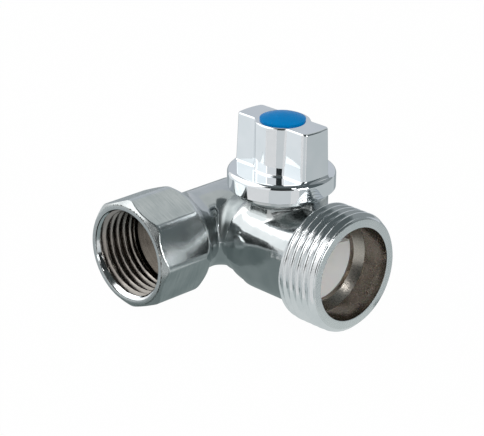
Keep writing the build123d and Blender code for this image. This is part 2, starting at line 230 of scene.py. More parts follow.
def cone(distance, radius, along, start, rise):
    """Outside of a cone that has that radius at start and grows by rise along the axis."""
    return (distance - radius - rise * (along - start)) / math.sqrt(1 + rise * rise)


def body_field(x, y, z):
    """Forged body without its two thread sleeves."""
    t = -y
    to_inlet = np.hypot(x - INLET_X, z)
    to_outlet = np.hypot(y, z)
    to_stem = np.hypot(x, y)

    # Neck and arm meet in a mitre: an edge outside, a fillet inside
    flare = np.clip((x - ARM_FLARE) / (ARM_FLARE_END - ARM_FLARE), 0, 1)
    arm = to_outlet - NECK - (ARM_END - NECK) * flare * flare * (3 - 2 * flare)
    neck = to_inlet - NECK
    outward = y - (x - INLET_X)
    ease = np.clip(np.abs(outward) / ELBOW_EASE, 0, 1)
    corner = arm - ELBOW_CORNER * ease * ease * (3 - 2 * ease)
    outside = meet(neck, corner, ELBOW_EDGE * ease)
    elbow = np.where(outward > 0, outside, join(neck, arm, ELBOW_FILLET * ease))
    elbow = np.maximum(elbow, np.maximum(x, t - ELBOW_REACH))

    # Chamber with a flat on each side, and a round shoulder towards the arm
    bend = np.clip((SHOULDER_END - x) / (SHOULDER_END - CHAMBER_START), 0, 1)
    dip = SHOULDER_DROP * (1 - np.sqrt(1 - SHOULDER_ROUND * bend * bend))
    step = np.where(x < UNDERCUT_END, UNDERCUT + UNDERCUT_MORE * bend, 0)
    under = np.clip(-z / UNDERCUT_FADE, 0, 1) * step
    chamber = meet(to_outlet - CHAMBER + dip + under, np.abs(y) - CHAMBER_FLAT, CHAMBER_EDGE)
    chamber = meet(chamber, CHAMBER_START - x, 0.3)
    chamber = np.maximum(chamber, x - CHAMBER_END - 0.2)

    # Socket with worn back corners, a sloping back and a bevelled front
    socket = octagon(x - INLET_X, z, SOCKET_FLAT, SOCKET_EDGE, True)
    worn = (SOCKET_CORNER - SOCKET_FLAT) / (SOCKET_CORNER_END - SOCKET_SHOULDER)
    socket = meet(socket, cone(to_inlet, SOCKET_FLAT, t, SOCKET_SHOULDER, worn), 0.3)
    shoulder = (SOCKET_FLAT - NECK) / (SOCKET_SHOULDER - SOCKET_BACK)
    socket = meet(socket, cone(to_inlet, NECK, t, SOCKET_BACK, shoulder), 0.5)
    front = -SOCKET_BEVEL / (SOCKET_CORNER - SOCKET_FACE)
    socket = meet(socket, cone(to_inlet, SOCKET_FACE, t, INLET_TIP - 0.02, 1 / front), 0.15)
    socket = meet(socket, t - INLET_TIP + 0.02, 0.12)

    # Turret: eight-sided neck, a rib that carries the collar on one side, and the collar
    angle = np.degrees(np.arctan2(y, x))
    rib_side = (off_angle(angle, RIB_MIDDLE) - RIB_HALF) * np.radians(1) * to_stem
    rib = meet(bar_round(to_stem, TURRET, z, 0, COLLAR_BOTTOM + 0.3), rib_side, 0.4)
    stalk = octagon(x, y, TURRET_NECK, 0.5, False)
    stalk = meet(stalk, np.maximum(-z, z - COLLAR_BOTTOM), 0)
    widening = (TURRET - TURRET_CORNER) / (COLLAR_BOTTOM - TURRET_NECK_TOP)
    collar = cone(to_stem, TURRET_CORNER, z, TURRET_NECK_TOP, widening)
    collar = meet(to_stem - TURRET, collar, 0.35)
    collar = meet(collar, z - TURRET_TOP, 0.25)
    form = join(elbow, chamber, 0.5)
    form = join(form, stalk, TURRET_FILLET)
    form = join(form, rib, 0.6)
    form = join(form, collar, 0.4)
    form = join(form, socket, SOCKET_FILLET)

    # Stop ring on the collar, with a gap that the knob's lug turns in
    wedge = (STOP_GAP_HALF - off_angle(angle, STOP_GAP_MIDDLE)) * np.radians(1) * to_stem
    stop = bar_round(to_stem, TURRET, z, TURRET_TOP - 1, STOP_TOP, 0.1)
    stop = np.maximum(stop, STOP_INNER - to_stem)
    form = np.minimum(form, np.maximum(stop, wedge))

    for low, high, radius in WATER_BORES:
        form = cut(form, bar_round(to_outlet, radius, x, low, high))
    form = cut(form, bar_round(to_inlet, INLET_SLEEVE - 0.05, t, RELIEF_END + 0.2, 30))
    rise = (INLET_CREST - PASSAGE) / FUNNEL_LENGTH
    funnel = cone(to_inlet, PASSAGE, t, PASSAGE_START, rise)
    throat = np.maximum(funnel, to_inlet - INLET_CREST - 0.1)
    throat = np.minimum(throat, to_inlet - PASSAGE)
    form = cut(form, np.maximum(np.maximum(throat, -t), t - ELBOW_REACH))
    for low, high, radius in STEM_BORES:
        form = cut(form, bar_round(to_stem, radius, z, low, high))
    return form


def knob_field(x, y, z):
    """Bar knob with its hollow skirt, cores, drive socket and recess."""
    to_stem = np.hypot(x, y)
    grown = (KNOB_TOP - z) * BAR_DRAFT
    length = BAR_LENGTH + grown
    arc = ((BAR_WIDTH + grown) ** 2 + BAR_BULGE ** 2) / (2 * BAR_BULGE)
    end = np.hypot(np.abs(x) - length + arc, y) - arc
    bar = meet(end, np.abs(y) - BAR_WIDTH - grown, BAR_CORNER)
    form = join(bar, to_stem - HUB, 0.35)
    form = meet(form, z - KNOB_TOP, 0.42)
    form = np.maximum(form, KNOB_UNDERSIDE - z)
    skirt = meet(to_stem - SKIRT, z - KNOB_FLOOR, SKIRT_SHOULDER)
    skirt = meet(skirt, SKIRT_BOTTOM - z, 0.12)
    form = join(form, skirt, 0.45)
    form = cut(form, bar_round(to_stem, SKIRT_BORE, z, 0, KNOB_UNDERSIDE), 0.1)
    form = np.minimum(form, bar_round(to_stem, HUB, z, HUB_BOTTOM, KNOB_UNDERSIDE + 1))
    angle = np.degrees(np.arctan2(y, x))
    lug_side = (off_angle(angle, LUG_MIDDLE) - LUG_HALF) * np.radians(1) * to_stem
    lug = bar_round(to_stem, TURRET, z, TURRET_TOP + 0.1, KNOB_UNDERSIDE + 0.5)
    lug = np.maximum(lug, STOP_INNER - to_stem)
    form = np.minimum(form, np.maximum(lug, lug_side))
    core = np.maximum(np.abs(np.abs(x) - CORE_MIDDLE) - CORE_HALF, np.abs(y) - CORE_HALF_WIDTH)
    form = cut(form, np.maximum(core, z - KNOB_TOP + CORE_ROOF))
    drive = np.maximum(np.maximum(np.abs(x), np.abs(y)) - DRIVE_HALF, z - DRIVE_TOP)
    form = cut(form, drive)
    for low, high, radius in KNOB_BORES:
        form = cut(form, bar_round(to_stem, radius, z, low, high))
    return form


def surface_net(field, low, high, step):
    """Closed mesh of a field's zero surface: points in crossed cells, quads on crossed edges."""
    axes = [np.arange(a - 2 * step, b + 3 * step, step) for a, b in zip(low, high)]
    values = field(*np.meshgrid(*axes, indexing="ij")).astype(np.float32)
    inside = values < 0
    shape = [n - 1 for n in values.shape]
    corners = [(i, j, k) for i in (0, 1) for j in (0, 1) for k in (0, 1)]

    def block(array, corner):
        i, j, k = corner
        return array[i:i + shape[0], j:j + shape[1], k:k + shape[2]]

    count = sum(block(inside, c).astype(np.uint8) for c in corners)
    cells = np.argwhere((count > 0) & (count < 8))
    number = np.full(shape, -1, np.int64)
    number[tuple(cells.T)] = np.arange(len(cells))
    at = {c: values[tuple((cells + np.array(c)).T)] for c in corners}
    total = np.zeros((len(cells), 3))
    crossed = np.zeros(len(cells))
    for a in corners:
        for axis in range(3):
            if a[axis]:
                continue
            b = tuple(1 if i == axis else a[i] for i in range(3))
            hit = (at[a] < 0) != (at[b] < 0)
            share = np.where(hit, at[a] / np.where(hit, at[a] - at[b], 1), 0)
            place = np.tile(np.array(a, float), (len(cells), 1))
            place[:, axis] += share
            total += place * hit[:, None]
            crossed += hit
    points = cells + total / crossed[:, None]
    points = points * step + np.array([axis[0] for axis in axes])
    quads = []
    for axis in range(3):
        b, c = (axis + 1) % 3, (axis + 2) % 3
        first = np.take(inside, range(values.shape[axis] - 1), axis)
        second = np.take(inside, range(1, values.shape[axis]), axis)
        for hit, order in ((first & ~second, 1), (~first & second, -1)):
            edge = np.argwhere(hit)
            ring = []
            for db, dc in ((-1, -1), (0, -1), (0, 0), (-1, 0)):
                cell = edge.copy()
                cell[:, b] += db
                cell[:, c] += dc
                ring.append(number[tuple(cell.T)])
            quads.append(np.stack(ring[::order], 1))
    return points, np.concatenate(quads)


def growth(field, points, reach=0.01):
    """Direction and size of the field's growth at each point."""
    grad = np.zeros_like(points)
    for axis in range(3):
        step = np.zeros(3)
        step[axis] = reach
        grad[:, axis] = (field(*(points + step).T) - field(*(points - step).T)) / (2 * reach)
    return grad


def add_mesh(name, points, faces):
    """New object from millimetre points about the ball's centre."""
    mesh = bpy.data.meshes.new(name)
    mesh.from_pydata(((points + CENTRE) / 1000.0).tolist(), [], faces.tolist())
    mesh.update()
    made = bpy.data.objects.new(name, mesh)
    bpy.context.scene.collection.objects.link(made)
    return made


def add_cast(name, field, low, high, step):
    """Object cast from a distance field, shaded with the field's own directions."""
    points, quads = surface_net(field, low, high, step)
    for _ in range(SETTLINGS):
        grad = growth(field, points)
        size = np.maximum((grad ** 2).sum(1), 0.2)
        move = field(*points.T) / size
        points -= grad * np.clip(move, -step / 2, step / 2)[:, None]
    normals = growth(field, points, 0.03)
    normals /= np.maximum(np.linalg.norm(normals, axis=1), 1e-6)[:, None]
    made = add_mesh(name, points, quads)
    made.data.polygons.foreach_set("use_smooth", [True] * len(quads))
    made.data.normals_split_custom_set_from_vertices(normals.tolist())
    return made, points, quads


def add_sleeve(name, rows, place):
    """Closed ring: each row is a radius and a height, for all steps round the axis."""
    radius = np.stack([np.broadcast_to(r, SEGMENTS) for r, h in rows])
    height = np.stack([np.broadcast_to(h, SEGMENTS) for r, h in rows])
    points = place(radius * np.cos(TURN), radius * np.sin(TURN), height).reshape(-1, 3)
    row, col = np.meshgrid(np.arange(len(rows)), np.arange(SEGMENTS), indexing="ij")
    down, along = (row + 1) % len(rows), (col + 1) % SEGMENTS
    here, below = row * SEGMENTS, down * SEGMENTS
    faces = np.stack([here + col, here + along, below + along, below + col], -1).reshape(-1, 4)
    made = add_mesh(name, points, faces)
    made.data.polygons.foreach_set("use_smooth", [True] * len(faces))
    made.data.set_sharp_from_angle(angle=math.radians(35))
    return made


def thread_drop(phase, pitch, crest_round, root_round, flank):
    """Depth below the crest of a rounded V thread, where phase 0 is the crest."""
    away = np.abs((phase + 0.5) % 1 - 0.5) * pitch
    lean = math.radians(flank)
    crest_end = crest_round * math.cos(lean)
    root_start = pitch / 2 - root_round * math.cos(lean)
    fall = 1 / math.tan(lean)
    crest_drop = crest_round * (1 - math.sin(lean))
    arc = crest_round - np.sqrt(np.maximum(crest_round ** 2 - np.minimum(away, crest_end) ** 2, 0))
    line = crest_drop + (away - crest_end) * fall
    depth = crest_drop + (root_start - crest_end) * fall + root_round * (1 - math.sin(lean))
    low = np.minimum(pitch / 2 - away, root_round * math.cos(lean))
    bowl = depth - root_round + np.sqrt(np.maximum(root_round ** 2 - low ** 2, 0))
    return np.where(away < crest_end, arc, np.where(away < root_start, line, bowl)), depth


def outlet_rows():
    """Section of the outlet sleeve, from its hidden back end round the bore, face and thread."""
    rows = [(CHAMBER_BORE, OUTLET_SLEEVE_START), (CHAMBER_BORE, 12.0)]
    rows += [(CHAMBER_BORE, OUTLET_STEP_START - 0.05), (CHAMBER_BORE + 0.05, OUTLET_STEP_START)]
    rows += [(OUTLET_BORE - 0.05, OUTLET_STEP - 0.05), (OUTLET_BORE, OUTLET_STEP + 0.05)]
    rows += [(OUTLET_BORE, OUTLET_TIP - 3), (OUTLET_BORE, OUTLET_TIP - 0.25)]
    rows += [(OUTLET_BORE + 0.07, OUTLET_TIP - 0.07), (OUTLET_BORE + 0.25, OUTLET_TIP)]
    rows += [(11.2, OUTLET_TIP), (OUTLET_CREST - OUTLET_BEVEL - 0.12, OUTLET_TIP)]
    for height in np.arange(OUTLET_TIP - 0.04, CHAMBER_END, -ROW):
        phase = height / PITCH - TURN / (2 * math.pi)
        drop, depth = thread_drop(phase, PITCH, OUTLET_CREST_ROUND, ROOT_ROUND, FLANK)
        share = (OUTLET_CREST - OUTLET_ROOT) / depth
        front = OUTLET_CREST - OUTLET_BEVEL + (OUTLET_TIP - height)
        back = OUTLET_CREST - OUTLET_BACK + (height - CHAMBER_END)
        radius = OUTLET_CREST - drop * share
        rows.append((np.minimum(radius, min(front, back)), height))
    rows += [(OUTLET_CREST - 1.2, CHAMBER_END), (11.4, CHAMBER_END)]
    rows += [(OUTLET_SLEEVE, CHAMBER_END), (OUTLET_SLEEVE, OUTLET_SLEEVE_START)]
    return rows


def inlet_rows():
    """Section of the inlet sleeve, from its back end along the thread and out to the face."""
    rows = [(INLET_SLEEVE, RELIEF_END), (INLET_CREST, RELIEF_END), (INLET_CREST, RELIEF_END + 0.8)]
    for height in np.arange(THREAD_START, INLET_TIP - 0.3, ROW):
        phase = height / PITCH + TURN / (2 * math.pi)
        drop, depth = thread_drop(phase, PITCH, INLET_CREST_ROUND, ROOT_ROUND, FLANK)
        share = (INLET_ROOT - INLET_CREST) / depth
        fade = np.clip((height - THREAD_START) / LEAD_IN, 0, 1)
        mouth = INLET_MOUTH - (INLET_TIP - height - 0.3) * MOUTH_CONE
        rows.append((np.maximum(INLET_CREST + drop * share * fade, mouth), height))
    rows += [(INLET_MOUTH, INLET_TIP - 0.2), (INLET_MOUTH + 0.05, INLET_TIP - 0.06)]
    rows += [(INLET_MOUTH + 0.15, INLET_TIP), (INLET_SLEEVE, INLET_TIP)]
    rows += [(INLET_SLEEVE, INLET_TIP - 5)]
    return rows


def along_outlet(u, v, h):
    """Sleeve coordinates to the outlet's axis."""
    return np.stack([h, u, v], -1)


def along_inlet(u, v, h):
    """Sleeve coordinates to the inlet's axis."""
    return np.stack([u + INLET_X, -h, v], -1)


# Materials
def shader(name, base, metallic, roughness):
    """New material with its tree, and the main shader's sockets set."""
    made = bpy.data.materials.new(name)
    made.use_nodes = True
    tree = made.node_tree
    main = tree.nodes["Principled BSDF"]
    main.inputs["Base Color"].default_value = (*base, 1)
    main.inputs["Metallic"].default_value = metallic
    main.inputs["Roughness"].default_value = roughness
    return made, tree, main


def node(tree, kind, **sockets):
    """New node with values or links for its sockets, given by name or, as in _0, by number."""
    made = tree.nodes.new(kind)
    for key, value in sockets.items():
        place = made.inputs[int(key[1:]) if key[0] == "_" else key.replace("_", " ")]
        if isinstance(value, bpy.types.NodeSocket):
            tree.links.new(value, place)
        else:
            place.default_value = value
    return made


def place_of(tree, scale=(1, 1, 1)):
    """Object coordinates, stretched."""
    coords = tree.nodes.new("ShaderNodeTexCoord").outputs["Object"]
    made = node(tree, "ShaderNodeMapping", Vector=coords, Scale=scale)
    return made.outputs["Vector"]


def noise(tree, vector, scale, detail=3.0, rough=0.5):
    """Soft noise in object space."""
    made = node(tree, "ShaderNodeTexNoise", Vector=vector, Scale=scale, Detail=detail)
    made.inputs["Roughness"].default_value = rough
    return made.outputs["Fac"]


def spread(tree, value, low, high, new_low, new_high):
    """Value moved from one range to another."""
    return node(tree, "ShaderNodeMapRange", Value=value, From_Min=low, From_Max=high,
                To_Min=new_low, To_Max=new_high).outputs["Result"]


def two_tone(tree, value, first, second):
    """Colour between two, by a value."""
    mixer = tree.nodes.new("ShaderNodeMix")
    mixer.data_type = "RGBA"
    tree.links.new(value, mixer.inputs[0])
    mixer.inputs[6].default_value = (*first, 1)
    mixer.inputs[7].default_value = (*second, 1)
    return mixer.outputs[2]


def bump(tree, height, strength, distance, onto=None):
    """Bump from a height, on top of another bump."""
    made = node(tree, "ShaderNodeBump", Height=height, Strength=strength, Distance=distance)
    if onto is not None:
        tree.links.new(onto, made.inputs["Normal"])
    return made.outputs["Normal"]


def turned_place(tree, axis, origin):
    """Place along an axis and distance from it, for marks that a lathe leaves."""
    coords = tree.nodes.new("ShaderNodeTexCoord").outputs["Object"]
    shifted = node(tree, "ShaderNodeVectorMath", _0=coords, _1=tuple(origin))
    shifted.operation = "SUBTRACT"
    parts = node(tree, "ShaderNodeSeparateXYZ", Vector=shifted.outputs["Vector"])
    across = [parts.outputs[i] for i in range(3) if i != axis]
    flat = node(tree, "ShaderNodeCombineXYZ", X=across[0], Y=across[1])
    radius = node(tree, "ShaderNodeVectorMath", _0=flat.outputs["Vector"])
    radius.operation = "LENGTH"
    made = node(tree, "ShaderNodeCombineXYZ", X=parts.outputs[axis], Y=radius.outputs["Value"])
    return made.outputs["Vector"]


def metal(name, dark, light, rough_low, rough_high, wave=0.03, grain=0.1,
          streaks=None, depth=0.25, turned=None):
    """Plated metal: slow waves of the polish, fine grain, and streaks or lathe marks if given."""
    made, tree, main = shader(name, light, 1.0, rough_low)
    place = place_of(tree)
    slow = noise(tree, place, 200.0, 2.0)
    fine = noise(tree, place, 3000.0, 3.0, 0.6)
    tone = slow
    normal = bump(tree, slow, wave, 0.0008)
    normal = bump(tree, fine, grain, 0.00004, normal)
    marks = None
    if streaks:
        marks = noise(tree, place_of(tree, streaks), 1.0, 3.0, 0.65)
    if turned:
        marks = noise(tree, turned_place(tree, *turned), 4200.0, 3.0, 0.7)
    if marks is not None:
        normal = bump(tree, marks, depth, 0.00006, normal)
        tone = node(tree, "ShaderNodeMath", _0=slow, _1=marks)
        tone.operation = "ADD"
        tone = spread(tree, tone.outputs[0], 0.0, 2.0, 0, 1)
    tone = spread(tree, tone, 0.35, 0.65, 0, 1)
    tree.links.new(two_tone(tree, tone, dark, light), main.inputs["Base Color"])
    tree.links.new(spread(tree, fine, 0.3, 0.7, rough_low, rough_high), main.inputs["Roughness"])
    tree.links.new(normal, main.inputs["Normal"])
    return made


def plastic(name, dark, light, rough_low, rough_high, grain, subsurface=0.0):
    """Moulded plastic: faint cloudiness and the grain of its mould."""
    made, tree, main = shader(name, light, 0.0, rough_low)
    place = place_of(tree)
    slow = noise(tree, place, 400.0, 2.0)
    fine = noise(tree, place, 5000.0, 3.0, 0.6)
    tree.links.new(two_tone(tree, slow, dark, light), main.inputs["Base Color"])
    tree.links.new(spread(tree, fine, 0.3, 0.7, rough_low, rough_high), main.inputs["Roughness"])
    tree.links.new(bump(tree, fine, grain, 0.00005), main.inputs["Normal"])
    main.inputs["Subsurface Weight"].default_value = subsurface
    main.inputs["Subsurface Scale"].default_value = 0.001
    return made


OUTLET_AXIS = (0, CENTRE / 1000.0)
INLET_AXIS = (1, (CENTRE + np.array([INLET_X, 0, 0])) / 1000.0)
BODY_CHROME = metal("body_chrome", (0.52, 0.55, 0.555), (0.60, 0.62, 0.625),
                    0.08, 0.14, 0.16, 0.2)
SOCKET_CHROME = metal("socket_chrome", (0.50, 0.54, 0.545), (0.70, 0.72, 0.72),
                      0.13, 0.20, 0.01, 0.1, streaks=(200, 3600, 200), depth=0.6)
# Turret neck under the knob: a rough cast finish, and a darker colour that paints the shade under
# the knob's skirt
CAST_SHADED_CHROME = metal("cast_shaded_chrome", (0.34, 0.36, 0.36), (0.52, 0.54, 0.54),
                    0.12, 0.24, 0.5, 1.0)
# Elbow crease between the neck and the arm: rougher, and a darker colour that paints the shade in
# the crease
CREASE_SHADED_CHROME = metal("crease_shaded_chrome", (0.24, 0.27, 0.275), (0.38, 0.41, 0.41),
                      0.28, 0.40, 0.2, 0.3)
FACE_CHROME = metal("face_chrome", (0.62, 0.66, 0.66), (0.70, 0.72, 0.72),
                    0.22, 0.30, 0.01, 0.08, turned=OUTLET_AXIS, depth=0.1)
MOUTH_CHROME = metal("mouth_chrome", (0.42, 0.45, 0.45), (0.50, 0.52, 0.52),
                     0.22, 0.30, 0.01, 0.2, turned=INLET_AXIS, depth=0.12)
# Chrome on the threads, lighter than the body's: a painted sheen on the thread crests
SHEEN_THREAD_CHROME = metal("sheen_thread_chrome", (0.72, 0.75, 0.76), (0.79, 0.81, 0.82),
                      0.08, 0.15, 0.02, 0.25)
KNOB_CHROME = metal("knob_chrome", (0.75, 0.78, 0.80), (0.79, 0.81, 0.83),
                    0.02, 0.04, 0.006, 0.02)
# Nickel in the outlet bore, darker than the plating's own colour: painted shade inside the bore
SHADED_BORE_NICKEL = metal("shaded_bore_nickel", (0.22, 0.19, 0.16), (0.29, 0.255, 0.22),
                    0.20, 0.30, 0.01, 0.05, turned=OUTLET_AXIS, depth=0.12)
STEP_NICKEL = metal("step_nickel", (0.46, 0.42, 0.37), (0.55, 0.51, 0.46),
                    0.25, 0.33, 0.01, 0.04, turned=OUTLET_AXIS, depth=0.12)
# Nickel on the inlet's thread deeper than the mouth, darker than the plating's own colour: painted
# shade inside the socket
SHADED_INLET_NICKEL = metal("shaded_inlet_nickel", (0.27, 0.245, 0.22), (0.36, 0.335, 0.31),
                     0.14, 0.24, 0.01, 0.2, turned=INLET_AXIS, depth=0.2)
# Nickel in the inlet's throat and passage, darkest of all: painted shade deep inside the inlet
SHADED_THROAT_NICKEL = metal("shaded_throat_nickel", (0.10, 0.088, 0.075), (0.20, 0.18, 0.155),
                      0.20, 0.30, 0.01, 0.1, turned=INLET_AXIS, depth=0.5)
BRASS = metal("bare_brass", (0.60, 0.45, 0.20), (0.71, 0.56, 0.27),
              0.22, 0.34, 0.03, 0.3)
STEEL = metal("steel", (0.52, 0.52, 0.53), (0.62, 0.62, 0.63),
              0.22, 0.34, 0.03, 0.3)
BALL_NICKEL = metal("ball_nickel", (0.56, 0.51, 0.43), (0.66, 0.61, 0.52),
                    0.08, 0.16, 0.01, 0.1)
WHITE_PLASTIC = plastic("white_plastic", (0.80, 0.80, 0.79), (0.87, 0.87, 0.86),
                        0.35, 0.5, 0.1, 0.1)
SEAT_PLASTIC = plastic("seat_plastic", (0.84, 0.84, 0.81), (0.9, 0.9, 0.88),
                       0.4, 0.55, 0.1, 0.1)
BLUE_PLASTIC = plastic("blue_plastic", (0.0, 0.19, 0.50), (0.0, 0.225, 0.58), 0.18, 0.25, 0.05)
BLUE_PLASTIC.node_tree.nodes["Principled BSDF"].inputs["Specular IOR Level"].default_value = 0.03
RUBBER = plastic("black_rubber", (0.02, 0.02, 0.02), (0.035, 0.035, 0.035), 0.55, 0.7, 0.4)


# Pieces
body, points, quads = add_cast("body_forging", body_field, *BODY_SPACE, BODY_CELL)
BODY_FINISHES_AND_SHADES = (BODY_CHROME, SHADED_INLET_NICKEL, SHADED_BORE_NICKEL, MOUTH_CHROME, SOCKET_CHROME, CAST_SHADED_CHROME,
                 CREASE_SHADED_CHROME, SHADED_THROAT_NICKEL)
POLISHED, THROAT, BORE, MOUTH, SOCKET, CAST_SHADED, CREASE = (
    BODY_FINISHES_AND_SHADES.index(made) for made in (BODY_CHROME, SHADED_THROAT_NICKEL, SHADED_BORE_NICKEL, MOUTH_CHROME,
                                           SOCKET_CHROME, CAST_SHADED_CHROME, CREASE_SHADED_CHROME))
for made in BODY_FINISHES_AND_SHADES:
    body.data.materials.append(made)

# Which material each face of the forging has, later lines over earlier ones; the cast and crease
# chromes and the bore and throat nickels are darker to paint shade under the knob's skirt, in the
# elbow's crease and inside the passages
middle = points[quads].mean(1)
at_x, at_z, along = middle[:, 0], middle[:, 2], -middle[:, 1]
around_inlet = np.hypot(at_x - INLET_X, at_z)
around_outlet = np.hypot(middle[:, 1], at_z)
around_stem = np.hypot(at_x, middle[:, 1])
kind = np.full(len(quads), POLISHED)
kind[(along > SOCKET_SHOULDER - 1.6) & (around_inlet > 10.6)] = SOCKET
# Turret neck: rough cast chrome, darker to paint the shade under the skirt
kind[(around_stem < TURRET + 0.1) & (at_z > 8.8) & (at_z < COLLAR_BOTTOM + 0.1)] = CAST_SHADED
# Arm side by the elbow's crease: crease chrome, darker to paint the shade there
arm_side = (np.abs(at_x + 9.6) < 2.5) & (at_z > 0.5) & (along > -9.5)
arm_side &= (around_outlet > CHAMBER_BORE + 0.1) & (around_inlet > NECK + 0.25)
kind[arm_side & (kind == POLISHED)] = CREASE
kind[(along > INLET_TIP - 0.1) & (around_inlet > INLET_CREST)] = MOUTH
on_bevel = along + around_inlet > INLET_TIP + SOCKET_FACE - 0.15
kind[on_bevel & (along > INLET_TIP - 1.6)] = MOUTH
kind[(around_inlet < INLET_CREST + 0.2) & (along > PASSAGE_START)] = THROAT
kind[(around_inlet < PASSAGE + 0.2) & (along > 0)] = THROAT
kind[(around_outlet < CHAMBER_BORE + 0.1) & (np.abs(at_x) < 8.4)] = BORE
kind[(around_outlet < PASSAGE) & (at_x > WATER_BORE_END)] = BORE
body.data.polygons.foreach_set("material_index", kind.astype(np.int32))

outlet_section, inlet_section = outlet_rows(), inlet_rows()
outlet = add_sleeve("body_outlet_thread", outlet_section, along_outlet)
for made in (SHEEN_THREAD_CHROME, FACE_CHROME, SHADED_BORE_NICKEL, STEP_NICKEL):
    outlet.data.materials.append(made)
inlet = add_sleeve("body_inlet_thread", inlet_section, along_inlet)
for made in (SHEEN_THREAD_CHROME, MOUTH_CHROME, SHADED_INLET_NICKEL):
    inlet.data.materials.append(made)


def paint(sleeve, rows, pick):
    """Material index for each band of a sleeve, by the row's radius and height."""
    index = []
    for i in range(len(rows)):
        after = rows[(i + 1) % len(rows)]
        radius = (np.mean(rows[i][0]) + np.mean(after[0])) / 2
        height = (np.mean(rows[i][1]) + np.mean(after[1])) / 2
        index += [pick(radius, height)] * SEGMENTS
    sleeve.data.polygons.foreach_set("material_index", index)


def outlet_pick(radius, height):
    """0 thread, 1 face, 2 bore in nickel darkened as painted shade, 3 step."""
    if radius < OUTLET_BORE + 0.04:
        return 3 if OUTLET_STEP_START - 0.1 < height < OUTLET_STEP else 2
    return 1 if height > OUTLET_TIP - 0.1 else 0


def inlet_pick(radius, height):
    """0 thread near the mouth in the lighter thread chrome, 1 face, 2 deeper thread in nickel
    darkened as painted shade.
    """
    if height > INLET_TIP - 0.1:
        return 1
    return 0 if height > INLET_TIP - BRIGHT_MOUTH else 2


paint(outlet, outlet_section, outlet_pick)
paint(inlet, inlet_section, inlet_pick)
for piece in (body, outlet, inlet):
    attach(piece, "housing")
    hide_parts("valve_body")

knob = add_cast("knob_casting", knob_field, *KNOB_SPACE, KNOB_CELL)[0]
knob.data.materials.append(KNOB_CHROME)
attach(knob, "turning_set")
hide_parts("knob")

CARRIED = {
    "seat_retainer": WHITE_PLASTIC, "outlet_seat": SEAT_PLASTIC, "inlet_seat": SEAT_PLASTIC,
    "stem_washer_lower": SEAT_PLASTIC, "stem_washer_upper": SEAT_PLASTIC, "ball": BALL_NICKEL,
    "stem": BRASS, "bonnet": BRASS, "bonnet_o_ring": RUBBER, "stem_o_ring_lower": RUBBER,
    "stem_o_ring_upper": RUBBER, "knob_washer": STEEL, "knob_screw": STEEL,
    "index_cap": BLUE_PLASTIC,
}
for name, finish in CARRIED.items():
    NODES[name].data.materials.clear()
    NODES[name].data.materials.append(finish)

# Floor, which glows white towards the camera and less so in reflections
FLOOR_GLOW = 0.985
FLOOR_GLOW_MIRRORED = 0.25
lowest = min(o.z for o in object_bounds())
bpy.ops.mesh.primitive_plane_add(size=6, location=(0, 0, lowest))
floor = bpy.context.object
floor.name = "floor"
made, tree, main = shader("floor", (0.86, 0.86, 0.86), 0.0, 0.9)
paths = tree.nodes.new("ShaderNodeLightPath").outputs
mirrored = node(tree, "ShaderNodeMath", _0=paths["Is Glossy Ray"], _1=paths["Is Transmission Ray"])
mirrored.operation = "ADD"
mirrored = node(tree, "ShaderNodeMath", _0=mirrored.outputs[0], _1=FLOOR_GLOW_MIRRORED)
mirrored.operation = "MULTIPLY"
share = node(tree, "ShaderNodeMath", _0=paths["Is Camera Ray"], _1=FLOOR_GLOW,
             _2=mirrored.outputs[0])
share.operation = "MULTIPLY_ADD"
share = share.outputs[0]
glow = node(tree, "ShaderNodeEmission", Color=(1, 1, 1, 1), Strength=1.0)
mixed = node(tree, "ShaderNodeMixShader", Fac=share, _1=main.outputs[0], _2=glow.outputs[0])
tree.links.new(mixed.outputs[0], tree.nodes["Material Output"].inputs["Surface"])
floor.data.materials.append(made)
floor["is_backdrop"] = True

# World: white where it is seen, dimmer as a light
WORLD_SEEN = 1.0
WORLD_LIGHT = 0.55
world = bpy.data.worlds.new("studio")
bpy.context.scene.world = world
world.use_nodes = True
tree = world.node_tree
paths = tree.nodes.new("ShaderNodeLightPath").outputs
seen = node(tree, "ShaderNodeMath", _0=paths["Is Camera Ray"], _1=paths["Is Glossy Ray"])
seen.operation = "ADD"
seen = node(tree, "ShaderNodeMath", _0=seen.outputs[0], _1=paths["Is Transmission Ray"])
seen.operation = "ADD"
strength = node(tree, "ShaderNodeMapRange", Value=seen.outputs[0], To_Min=WORLD_LIGHT,
                To_Max=WORLD_SEEN)
tree.nodes["Background"].inputs["Color"].default_value = (1, 1, 1, 1)
tree.links.new(strength.outputs["Result"], tree.nodes["Background"].inputs["Strength"])


# Lamps, and cards that only reflections see: painted reflections that stand in for the rest of the
# studio, and on the floor for its light and shade
CARD_STEPS, CARD_ROWS = 24, 12
FLOOR_CARD_STEPS = 120


def toward(azimuth, elevation):
    """Unit direction from the object: azimuth 0 is -Y, 90 is +X."""
    a, e = math.radians(azimuth), math.radians(elevation)
    return Vector((math.sin(a) * math.cos(e), -math.cos(a) * math.cos(e), math.sin(e)))


# Lamps and cards stand round this point
AIM = Vector((CENTRE + np.array([-5.0, -6.0, 4.0])) / 1000.0)


def facing(thing, azimuth, elevation, distance):
    """Puts a lamp or card out in a direction, turned to the object."""
    out = toward(azimuth, elevation)
    thing.location = AIM + out * distance
    thing.rotation_mode = "QUATERNION"
    thing.rotation_quaternion = out.to_track_quat("Z", "Y")


def lamp(name, azimuth, elevation, distance, width, height, power):
    """Soft box."""
    data = bpy.data.lights.new(name, "AREA")
    data.shape = "RECTANGLE"
    data.size, data.size_y = width, height
    data.energy = power
    made = bpy.data.objects.new(name, data)
    bpy.context.scene.collection.objects.link(made)
    facing(made, azimuth, elevation, distance)
    return made


